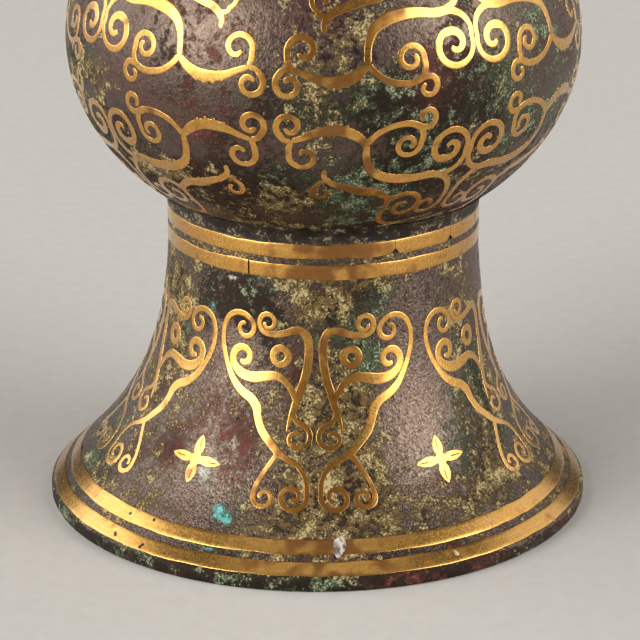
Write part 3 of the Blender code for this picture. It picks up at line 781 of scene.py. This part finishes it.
def gold_fields(curve, angle, arc, along, across, edge, lime_places=()):
    """What the gold's material reads at each point: its place on the strip, lime and painted shade.

    The painted shade is most at the front, and the foot has spots of its own too.
    """
    shade_places = front_shade_places + (foot_shade_places if curve is foot_curve else ())
    fields = {"along": along, "across": across, "edge": edge}
    fields["lime"] = spots(angle, arc, lime_places)
    fields["painted_front_shade"] = spots(angle, arc, shade_places)
    return {field: np.broadcast_to(value, arc.shape) for field, value in fields.items()}


def flipped(rings, fields):
    """A tube with its rings run the other way round, which turns its faces over."""
    return rings[:, ::-1], {field: value[:, ::-1] for field, value in fields.items()}


for band_name, curve, (low, high), joint_gap, bite, joints in bands:
    middle_radius = on_curve(curve, (low + high) / 2.0)[0]
    half_gap = np.degrees(joint_gap / 2.0 / middle_radius)
    lime_places = strip_lime if curve is foot_curve else ()
    ends = (*joints[1:], joints[0] + 360.0)
    for number, (first, last) in enumerate(zip(joints, ends), start=1):
        count = int((last - first) / strip_step)
        angle = np.linspace(first + half_gap, last - half_gap, count)[:, None]
        edge_points = on_casting(curve, angle, low)
        from_joint = np.minimum(angle - first, last - angle)
        bitten = bite * np.exp(-((from_joint / bite_half_width) ** 2))
        waver = [lattice_noise(edge_points, strip_waver_size, seed) - 0.5 for seed in (80, 81)]
        low_edge = low + bitten + strip_waver * waver[0]
        half = (high + strip_waver * waver[1] - low_edge) / 2.0
        arc = low_edge + half * (1.0 + strip_across)
        rings = on_casting(curve, angle, arc, strip_lift + swell(on_casting(curve, angle, arc)))
        along = np.radians(angle) * middle_radius
        across = arc + streak_shift * number
        edge = (1.0 - np.abs(strip_across)) * half
        fields = gold_fields(curve, angle, arc, along, across, edge, lime_places)
        strip = tube_piece(f"{band_name}_{number}_gold", [flipped(rings, fields)], gold)
        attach(strip, "root")
        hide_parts(f"{band_name}_{number}")

# Mask inlay
# Five split dragon masks round the foot. Each half has a back strand with a forked tail, a face
# strand with a jaw and a chin curl, and an eye ring, of gold beaten into chiselled channels.
masks = 5
first_mask_angle = -2.5
mask_shifts = (0.0, 2.8, -1.0, 0.8, 0.0)
mask_drops = (0.0, 1.0, 0.4, 0.6, 1.0)
mask_lean = 1.5
mask_degree = 2.0
mask_bottom = 11.9
mask_height = 32.0
mask_unit = 0.998
curl_step = 12.0
strand_step = 0.25
strand_least = 8
tip_least = 0.01
strand_waver = 0.14
strand_waver_size = 2.2
inlay_round = 0.08
inlay_sink = -0.02
inlay_rise = 0.06
inlay_base = -0.25
inlay_across = np.array([1.0, 0.94, 0.75, 0.4, 0.0, -0.4, -0.75, -0.94, -1.0])
sides = (("left", -1), ("right", 1))


def curl(centre, radii, start, sweep, widths, power=1.0, tall=1.0):
    """Rows of a curl that winds in about a centre, from one radius and width to another.

    The radius falls by a power of the share that is left, and the angle turns evenly by a sweep.
    The curl is stretched upwards by a factor, tall.
    """
    share = np.linspace(0.0, 1.0, int(abs(sweep) / curl_step))
    radius = radii[1] + (radii[0] - radii[1]) * (1.0 - share) ** power
    turn = np.radians(start + sweep * share)
    width = widths[0] + (widths[1] - widths[0]) * share
    rows = (centre[0] + radius * np.cos(turn), centre[1] + tall * radius * np.sin(turn), width)
    return np.column_stack(rows)


def drawn(*runs):
    """Rows of (across, up, width) from lists and curls, joined by cubic arcs and read closely.

    The slope at a row follows its two neighbours, and the samples lie evenly along the chords.
    """
    rows = np.vstack([np.asarray(run, float).reshape(-1, 3) for run in runs])
    chord = along_line(rows[:, :2])
    slope = np.gradient(rows, chord, axis=0)
    at = np.linspace(0.0, chord[-1], int(chord[-1] / strand_step) + strand_least)
    piece = np.clip(np.searchsorted(chord, at, side="right") - 1, 0, len(rows) - 2)
    span = (chord[piece + 1] - chord[piece])[:, None]
    t = (at - chord[piece])[:, None] / span
    start = (1.0 + 2.0 * t) * (1.0 - t) ** 2 * rows[piece] + t * (1.0 - t) ** 2 * span * slope[piece]
    end = t * t * (3.0 - 2.0 * t) * rows[piece + 1] + t * t * (t - 1.0) * span * slope[piece + 1]
    return start + end


def laid_out(strands, placed, curve):
    """The strands of a motif as grids of angle, arc length, depth into the gold and place in it.

    A strand's samples are put on a casting, and its edges lie half a width to each side of its line,
    measured along the surface, with round ends unless the line closes. Depth is the most that any
    strand of the motif gives: half its width less the distance to its line.
    """
    lines = []
    for rows in strands:
        angle, arc = placed(rows[:, 0], rows[:, 1])
        radius = on_curve(curve, arc)[0]
        flat = np.column_stack((np.radians(angle) * radius, arc))
        along = along_line(flat)
        slope = np.gradient(flat, along, axis=0)
        slope /= np.hypot(*slope.T)[:, None]
        wander = np.column_stack((flat, np.zeros(len(flat))))
        waver = strand_waver * (lattice_noise(wander, strand_waver_size, 90) - 0.5)
        half = rows[:, 2] / 2.0 * (1.0 + waver)
        if not np.allclose(rows[0, :2], rows[-1, :2]):
            tip = np.clip(np.minimum(along, along[-1] - along) / half, 0.0, 1.0)
            half = half * np.sqrt(np.clip(1.0 - (1.0 - tip) ** 2, tip_least, 1.0))
        lines.append((flat, half, slope, along, radius))
    grids = []
    for number, (flat, half, slope, along, radius) in enumerate(lines):
        offset = inlay_across * half[:, None]
        sideways = (flat[:, :1] - offset * slope[:, 1:], flat[:, 1:] + offset * slope[:, :1])
        points = np.stack(sideways, -1)
        depth = (1.0 - np.abs(inlay_across)) * half[:, None]
        for other, (other_flat, other_half, *_) in enumerate(lines):
            if other != number:
                gap = np.linalg.norm(points[:, :, None] - other_flat[None, None], axis=-1)
                depth = np.maximum(depth, (other_half - gap).max(axis=-1))
        grids.append((np.degrees(points[..., 0] / radius[:, None]), points[..., 1], depth, along, offset))
    return grids


def domed(depth, rise):
    """How far gold stands out: a quarter circle of its depth, so that joined strands run together."""
    shoulder = np.clip(depth / inlay_round, 0.0, 1.0)
    return inlay_sink + rise * np.sqrt(1.0 - (1.0 - shoulder) ** 2)


def let_in(curve, angle, arc, lift, fields, axis):
    """A grid of gold lifted off a casting and following its swell, with a flat underside let into it.

    The underside's two rows lie under the grid's last and first rows along an axis.
    """
    ends = [-1, 0]
    top = on_casting(curve, angle, arc, lift + swell(on_casting(curve, angle, arc)))
    under = on_casting(curve, angle.take(ends, axis), arc.take(ends, axis), inlay_base)
    for field, value in fields.items():
        fields[field] = np.concatenate((value, value.take(ends, axis)), axis)
    return np.concatenate((top, under), axis), fields


def strand_tube(grid, middle, way, drop, curve, rise=inlay_rise):
    """A strand of gold: its grid set to one side of a middle angle, dropped, domed and let in."""
    angle, arc, depth, along, offset = grid
    angle = middle + way * angle
    arc = arc - drop
    fields = gold_fields(curve, angle, arc, along[:, None], offset, depth)
    tube = let_in(curve, angle, arc, domed(depth, rise), fields, 1)
    return flipped(*tube) if way < 0 else tube


back_strand = drawn(
    curl((12.75, 29), (1.75, 0.45), 130, 320, (1, 0.75), 0.5)[::-1],
    [
        (12.9, 31.15, 1.05), (14.5, 31.3, 1.05), (16.15, 30.4, 1), (17, 28.7, 0.95),
        (17.05, 26.5, 0.95), (16.4, 24.2, 1), (15.3, 22, 1.1), (13.9, 20, 1.3), (12.1, 18.5, 1.55),
        (10.4, 17.6, 1.75), (9.35, 16.4, 1.8), (9, 15, 1.45), (8.1, 12.9, 1.4), (6.5, 10.9, 1.4),
        (5.2, 9.4, 1.25), (3.9, 8.5, 1.05), (2.5, 7.6, 0.95), (1.45, 6.1, 0.9), (0.95, 4.3, 0.9),
    ],
    curl((2.8, 2.2), (1.95, 0.4), 165, 470, (0.95, 0.75), 0.75, 1.25),
)
back_tail = drawn(
    [(5.3, 9.2, 0.9), (5.8, 8.2, 0.9), (6.5, 6.8, 0.9), (7.3, 5, 0.9), (7.75, 3.5, 0.9)],
    curl((6.45, 1.95), (1.45, 0.4), 15, -400, (0.95, 0.75), 0.8, 1.25),
)
face_strand = drawn(
    curl((8.5, 30.3), (1.75, 0.4), -75, 440, (0.95, 0.7), 0.6)[::-1],
    [
        (7.3, 28.5, 1.05), (5.2, 28.9, 1.2), (3.6, 29.4, 1.3), (2.5, 29.35, 1.4), (1.55, 28.3, 1.45),
        (1.2, 26.4, 1.4), (1.35, 23.9, 1.4), (1.85, 21.4, 1.4), (2.5, 19.4, 1.35), (3.1, 17.3, 1.3),
        (3.6, 15.6, 1), (4, 14, 0.6), (4.2, 12.8, 0.3),
    ],
)
jaw = drawn(
    [
        (3.1, 17.8, 0.95), (3.9, 19.6, 1.05), (4.9, 20.9, 1.25), (6.4, 21.7, 1.55), (8.4, 21.5, 1.8),
        (10.6, 21.1, 1.95), (12.6, 21.4, 1.75),
    ],
    curl((12.75, 24.1), (2.15, 0.45), -55, 370, (1.45, 0.9), 0.8),
)
chin_curl = drawn(
    [(3.5, 16, 0.9), (3, 14.9, 0.9)],
    curl((2.6, 11.9), (2.3, 0.4), 100, 430, (0.95, 0.75)),
)
eye_ring = drawn(curl((6, 25), (1.33, 1.33), 0, 360, (1.2, 1.2)))


def on_mask_field(across, up):
    """Angle from a mask's middle and arc length on the foot, for places on the mask's sheet."""
    return across * mask_degree, mask_bottom + up * mask_unit


mask_strands = [back_strand, back_tail, face_strand, jaw, chin_curl, eye_ring]
mask_grids = laid_out(mask_strands, on_mask_field, foot_curve)
mask_parts = {"back": mask_grids[0:2], "face": mask_grids[2:5], "eye": mask_grids[5:6]}
for mask, (shift, drop) in enumerate(zip(mask_shifts, mask_drops)):
    mask_middle = first_mask_angle + mask * 360.0 / masks + shift
    for side, way in sides:
        for part_name, grids in mask_parts.items():
            tubes = []
            for grid in grids:
                lean = mask_lean * (1.0 - (grid[1] - mask_bottom) / mask_height)
                tubes.append(strand_tube(grid, mask_middle + lean, way, drop, foot_curve))
            node_name = f"mask_{mask + 1}_{side}_{part_name}"
            inlay = tube_piece(f"{node_name}_gold", tubes, gold)
            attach(inlay, "root")
            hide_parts(node_name)

# Rosettes
# A four-petalled flower of sheet gold low in each gap between two masks, beaten into the bronze.
# Each petal is a lens with a chased line down its middle, round a small domed hub.
rosette_radius = 4.2
rosette_hub = 1.1
rosette_up = 6.2
rosette_petals = 4
rosette_columns = 192
rosette_depth_share = 0.45
rosette_streak_shift = 50.0
vein_width = 0.14
vein_depth = 0.05
vein_start = (1.3, 1.8)
vein_end = (0.05, 0.3)
hub_ring_radius = 1.25
hub_ring_width = 0.18
hub_ring_depth = 0.04
chased_line_darkening = 0.2
rosette_shifts = (2.5, 0.9, 0.0, 0.0, 2.3)
petal_turns = evenly_round(rosette_columns)
petal_angle = 360.0 / rosette_petals
from_petal = np.abs((petal_turns + petal_angle / 2.0) % petal_angle - petal_angle / 2.0)
petal_reach = np.sin(np.radians(petal_angle / 2.0 - from_petal)) / np.sin(np.radians(petal_angle / 2.0))
petal_reach = np.maximum(rosette_hub, rosette_radius * petal_reach)
rosette_share = np.array([0.002, 0.1, 0.2, 0.28, 0.36, 0.5, 0.65, 0.8, 0.9, 0.96, 1.0])[:, None]
from_hub = rosette_share * petal_reach
rosette_across = from_hub * np.cos(np.radians(petal_turns))
rosette_rise = from_hub * np.sin(np.radians(petal_turns))
rosette_depth = (1.0 - rosette_share) * petal_reach * rosette_depth_share
vein = np.exp(-((from_hub * np.radians(from_petal) / vein_width) ** 2))
vein = vein * smoothstep(from_hub, *vein_start) * smoothstep(rosette_depth, *vein_end)
hub_ring = np.exp(-(((from_hub - hub_ring_radius) / hub_ring_width) ** 2))
rosette_lift = domed(rosette_depth, inlay_rise) - vein_depth * vein - hub_ring_depth * hub_ring
# The vein and the hub ring are darkened as the gold's edges are.
rosette_edge = rosette_depth - chased_line_darkening * (vein + hub_ring)
rosette_arc = mask_bottom + (rosette_up + rosette_rise) * mask_unit
for gap, shift in enumerate(rosette_shifts):
    middle = first_mask_angle + (gap + 0.5) * 360.0 / masks + shift
    angle = middle + rosette_across * mask_degree
    along = rosette_rise + rosette_streak_shift * gap
    fields = gold_fields(foot_curve, angle, rosette_arc, along, rosette_across, rosette_edge)
    tube = flipped(*let_in(foot_curve, angle, rosette_arc, rosette_lift, fields, 0))
    rosette = tube_piece(f"rosette_{gap + 1}_gold", [tube], gold)
    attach(rosette, "root")
    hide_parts(f"rosette_{gap + 1}")

# Lime drip
# A drip of lime that ran down over a break in the upper foot band and set hard there.
# It is a thin lump, matt and chalky, with specks of earth in it.
drip_angle = 4.6
drip_rise = 0.22
drip = drawn([
    (-0.2, 3.9, 0.3), (-0.15, 4.5, 1.1), (0, 5.2, 1.7), (0.2, 5.9, 2.1), (0.3, 6.6, 1.9),
    (0.5, 7.2, 1.3), (0.6, 7.7, 0.5),
])
lime_crust, tree, _, chalk, earth = new_material("hardened_lime", ((0.6, 4.0), (1.3, 4.0)))
tone = painted("#7C6C62", "#C9BBB0", chalk, 0.35, 0.62)
tone = painted(tone, "#4B3C36", earth, 0.52, 0.66, 0.9)
bump = add_node(tree, "Bump", {}, {"Height": chalk, "Strength": 0.7, "Distance": 0.20 / metre})
surface = {"Base Color": tone, "Roughness": 0.75, "Normal": bump}
set_inputs(tree.nodes["Principled BSDF"], surface)


def on_foot_front(across, up):
    """Angle and arc length on the foot, for places in millimetres about the front."""
    return np.degrees(across / foot_radius), up


drip_grid = laid_out([drip], on_foot_front, foot_curve)[0]
drip_tube = strand_tube(drip_grid, drip_angle, 1, 0.0, foot_curve, drip_rise)
drip_lump = tube_piece("lime_drip", [drip_tube], lime_crust)
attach(drip_lump, "root")

# Belly scrolls
# Curling strands of gold in eight mirrored columns, each drawn once and turned over at a line just
# under the belly's widest. They are beaten into channels like the masks.
scroll_columns = 4
scroll_axis = -11.3
scroll_turn = 90.0
scroll_degree_size = 0.73
scroll_middle = belly_length / 2.0 - 1.5
left_joint = (3.2, -5.8, 0.95)
arch_joint = (14.9, -6.4, 1.1)
hook_joint = (23.4, -4.0, 1.05)
small_curl = drawn(
    [left_joint, (2, -5.5, 1)],
    curl((2.9, -3.3), (2.1, 0.4), 225, -370, (1.1, 0.9), 0.6),
)
lower_curl = drawn(
    [left_joint, (2.75, -7, 1.05)],
    curl((5, -8.6), (2.4, 0.45), 165, 330, (1.1, 0.9), 0.6),
)
arch = drawn([
    left_joint, (5.1, -5.1, 1.1), (6.7, -4.4, 1.4), (8.7, -3.95, 1.8), (11.2, -4, 1.9),
    (13.1, -4.8, 1.6), arch_joint,
])
scallop_places = ((7.4, -3.65, 1.2), (8.9, -3.2, 1.3), (10.4, -3.1, 1.3), (11.8, -3.4, 1.2))
scallops = [drawn([(x - 0.3, up, width), (x + 0.3, up, width)]) for x, up, width in scallop_places]
bridge = drawn(
    [
        arch_joint, (15.9, -5.2, 1.05), (17.6, -3.95, 1.05), (19.9, -3.25, 1.1), (22, -3.3, 1.1),
        hook_joint, (23.9, -5.4, 1.05),
    ],
    curl((21.6, -6.95), (2.15, 0.4), 5, -420, (1.05, 0.85), 0.6),
)
hook = drawn(
    [(22, -3.4, 0.9), (23.6, -3.95, 1)],
    curl((24.2, -2.4), (1.75, 0.4), -58, 300, (1, 0.85), 0.8),
)
stem = drawn(
    [
        arch_joint, (14.9, -8, 1.15), (15.2, -9.8, 1.3), (16, -11.5, 1.6), (17.9, -12.9, 1.9),
        (20.8, -13.7, 2), (23.6, -13.8, 1.9), (26.4, -13.5, 1.7), (29.3, -13.6, 1.4),
        (31.3, -12.6, 1.15), (32.3, -11, 1),
    ],
    curl((29.1, -8.2), (3.35, 2.7), -14, 236, (1, 1.25)),
    curl((29.1, -8.3), (2.35, 0.45), 240, 290, (1.55, 0.85), 1.3),
)
under_branch = drawn(
    [(28.2, -13.8, 1.2), (30.2, -14.8, 1.15), (31.4, -16.6, 1.1), (32, -19, 1.05)],
    curl((29.2, -21.6), (2.9, 0.5), 15, -380, (1, 0.8), 0.8),
)
low_scroll = drawn(
    [
        (8.3, -11.2, 0.8), (8.3, -12.7, 1), (9.5, -14.1, 1.3), (12.1, -15.2, 1.6), (14.8, -16.2, 1.9),
        (17.6, -16.7, 1.7), (19.6, -18, 1.3),
    ],
    curl((23.9, -21.2), (3.9, 0.6), 140, -440, (1.15, 0.85), 0.85),
)
low_hook = drawn(
    [(8.9, -13.6, 0.9), (7.3, -14.2, 0.9)],
    curl((7.9, -16.3), (1.9, 0.4), 110, 330, (0.9, 0.75), 0.8),
)
low_run = drawn([
    (19.2, -17.6, 1), (20.2, -19.2, 1), (20.1, -21.4, 1), (19.7, -24, 1), (20.6, -26.2, 1),
    (22.6, -27.4, 0.9), (25.2, -27.6, 0.7),
])
scroll_strands = [small_curl, lower_curl, arch, *scallops, bridge, hook, stem]
scroll_strands += [under_branch, low_scroll, low_hook, low_run]


def on_belly_field(across, up):
    """Angle from a column's axis and arc length on the belly, for places on the scroll's sheet."""
    return across / scroll_degree_size, scroll_middle + up


for half_name, turned in (("lower", 1.0), ("upper", -1.0)):
    turned_strands = [rows * (1.0, turned, 1.0) for rows in scroll_strands]
    scroll_grids = laid_out(turned_strands, on_belly_field, belly_curve)
    for column in range(scroll_columns):
        middle = scroll_axis + column * scroll_turn
        for side, way in sides:
            tubes = [strand_tube(grid, middle, way, 0.0, belly_curve) for grid in scroll_grids]
            scroll = tube_piece(f"belly_scroll_{column + 1}_{side}_{half_name}", tubes, gold)
            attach(scroll, "root")

# Neck leaves
# Five tall leaf blades of gold strands round the neck, in the manner of the belly's scrolls.
# Each half has an edge that rises to the tip, curls along it, a spine, and a curl between leaves.
leaves = 5
leaf_axis = -2.5
leaf_degree = 2.0
leaf_bottom = 10.0
leaf_curl_places = ((22.0, 2.7), (33.0, 2.5), (43.0, 2.1))
leaf_curl_root = 4.5
leaf_curl_gap = 0.6
leaf_unit = np.radians(leaf_degree) * neck_curve[1:, 1]
leaf_heights = np.concatenate(([0.0], np.cumsum(np.diff(neck_curve[:, 0]) / leaf_unit)))
leaf_start = np.interp(leaf_bottom, neck_curve[:, 0], leaf_heights)
leaf_outline = [
    (16.3, 7.5, 1.2), (16, 13, 1.3), (14.7, 20, 1.5), (12.4, 29, 1.7), (9.5, 38, 1.8), (6.4, 47, 1.7),
    (3.6, 55, 1.6), (1.6, 61, 1.4), (0.5, 65.5, 1),
]
leaf_edge = drawn(curl((13.4, 4.8), (3.3, 0.5), 25, -430, (1.15, 0.85), 0.8)[::-1], leaf_outline)
leaf_curls = []
for up, size in leaf_curl_places:
    root = up + leaf_curl_root
    beside = np.interp(root, [row[1] for row in leaf_outline], [row[0] for row in leaf_outline])
    leaf_curl = curl((beside - leaf_curl_gap - size, up), (size, 0.45), 25, -420, (1.1, 0.9), 0.8)
    leaf_curls.append(drawn([(beside, root, 1.0), (beside - 0.5, up + 2.6, 1.1)], leaf_curl))
leaf_spine = drawn(
    curl((4.6, 6), (2.9, 0.5), 175, 420, (1.1, 0.85), 0.8)[::-1],
    [(1.5, 9, 1.2), (1.2, 15, 1.4), (1.2, 22, 1.3), (1, 29, 1.1), (0.8, 35, 0.7)],
)
spandrel = drawn(
    [(17.2, 24, 0.7), (17.1, 32, 1.1), (16.9, 42, 1.4), (16.6, 50, 1.5), (16, 54.5, 1.4)],
    curl((12.6, 56), (3.4, 0.5), -10, 430, (1.3, 0.9), 0.8),
)


def on_neck_field(across, up):
    """Angle from a leaf's middle and arc length, on a sheet that keeps its angles on the neck."""
    return across * leaf_degree, np.interp(leaf_start + up, leaf_heights, neck_curve[:, 0])


leaf_grids = laid_out([leaf_edge, *leaf_curls, leaf_spine, spandrel], on_neck_field, neck_curve)
for leaf in range(leaves):
    middle = leaf_axis + leaf * 360.0 / leaves
    for side, way in sides:
        tubes = [strand_tube(grid, middle, way, 0.0, neck_curve) for grid in leaf_grids]
        blade = tube_piece(f"neck_leaf_{leaf + 1}_{side}", tubes, gold)
        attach(blade, "root")

# Floor
# A pale matt sheet of paper that the vessel stands on, large enough to fill any view. Its half width,
# and the sizes of the lights and the camera below, are in metres.
floor_half = 9.0
fibre_size = 3.0
ground_mesh = bpy.data.meshes.new("studio_floor")
ground_corners = [(-1, -1, 0), (1, -1, 0), (1, 1, 0), (-1, 1, 0)]
ground_mesh.from_pydata((np.array(ground_corners) * floor_half).tolist(), [], [(0, 1, 2, 3)])
paper, tree, _, fibre = new_material("matt_pale_paper", ((fibre_size, 3.0),))
tone = painted("#C4C0B9", "#C8C4BD", fibre, 0.3, 0.7)
set_inputs(tree.nodes["Principled BSDF"], {"Base Color": tone, "Roughness": 0.9})
ground_mesh.materials.append(paper)
ground = bpy.data.objects.new("studio_floor", ground_mesh)
bpy.context.scene.collection.objects.link(ground)
ground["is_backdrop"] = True

# Light
# Large soft boxes with grids stand at the vessel's sides, so that the metal is bright on both cheeks
# and dark in the middle. Weaker ones stand behind each shoulder and hang overhead in a dim, even room.
softbox_distance = 6.0
softbox_spread = 130.0
softbox_aim = 0.06
side_tilt = 21.5
side_size = (4.65, 4.8)
overhead_tilt = 80.0
overhead_size = (5.25, 3.6)


def set_up(name, data, bearing, tilt, distance, aim_height):
    """A lamp or camera a distance off, at a bearing and a tilt above, that looks at the vessel's axis."""
    stand = bpy.data.objects.new(name, data)
    rise = np.radians(tilt)
    height = aim_height + distance * np.sin(rise)
    stand.location = around(distance * np.cos(rise), bearing, height)
    stand.rotation_euler = (np.pi / 2.0 - rise, 0.0, np.radians(bearing))
    bpy.context.scene.collection.objects.link(stand)
    return stand


for place_name, bearing, tilt, size, power in (
    ("left", -57.0, side_tilt, side_size, 245.0),
    ("left_back", -108.0, side_tilt, side_size, 85.0),
    ("right", 64.0, side_tilt, side_size, 200.0),
    ("right_back", 112.0, side_tilt, side_size, 34.0),
    ("overhead", 0.0, overhead_tilt, overhead_size, 16.0),
):
    lamp = bpy.data.lights.new(f"softbox_{place_name}", "AREA")
    lamp.shape = "RECTANGLE"
    lamp.size, lamp.size_y = size
    lamp.spread = np.radians(softbox_spread)
    lamp.energy = power
    set_up(f"softbox_{place_name}", lamp, bearing, tilt, softbox_distance, softbox_aim)
room = bpy.data.worlds.new("dim_room")
room.use_nodes = True
room_light = {"Color": linear("#F4F1EC"), "Strength": 0.07}
set_inputs(room.node_tree.nodes["Background"], room_light)
bpy.context.scene.world = room
bpy.context.scene.view_settings.view_transform = "Standard"

# Camera
# A long lens close to the vessel, tilted down about twenty degrees and framed on the foot, the waist
# and the lower half of the belly.
camera_lens = 157.5
camera_sensor = 36.0
camera_tilt = 19.51
camera_distance = 0.4775
camera_aim = 0.0296
camera_near = 0.01
camera = bpy.data.cameras.new("camera")
camera.sensor_width = camera_sensor
camera.lens = camera_lens
camera.clip_start = camera_near
bpy.context.scene.camera = set_up("camera", camera, 0.0, camera_tilt, camera_distance, camera_aim)

visual_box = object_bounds()
boxes = {"cad": cad_box, "visual": visual_box}
{name: [list(corner) for corner in box] for name, box in boxes.items()}
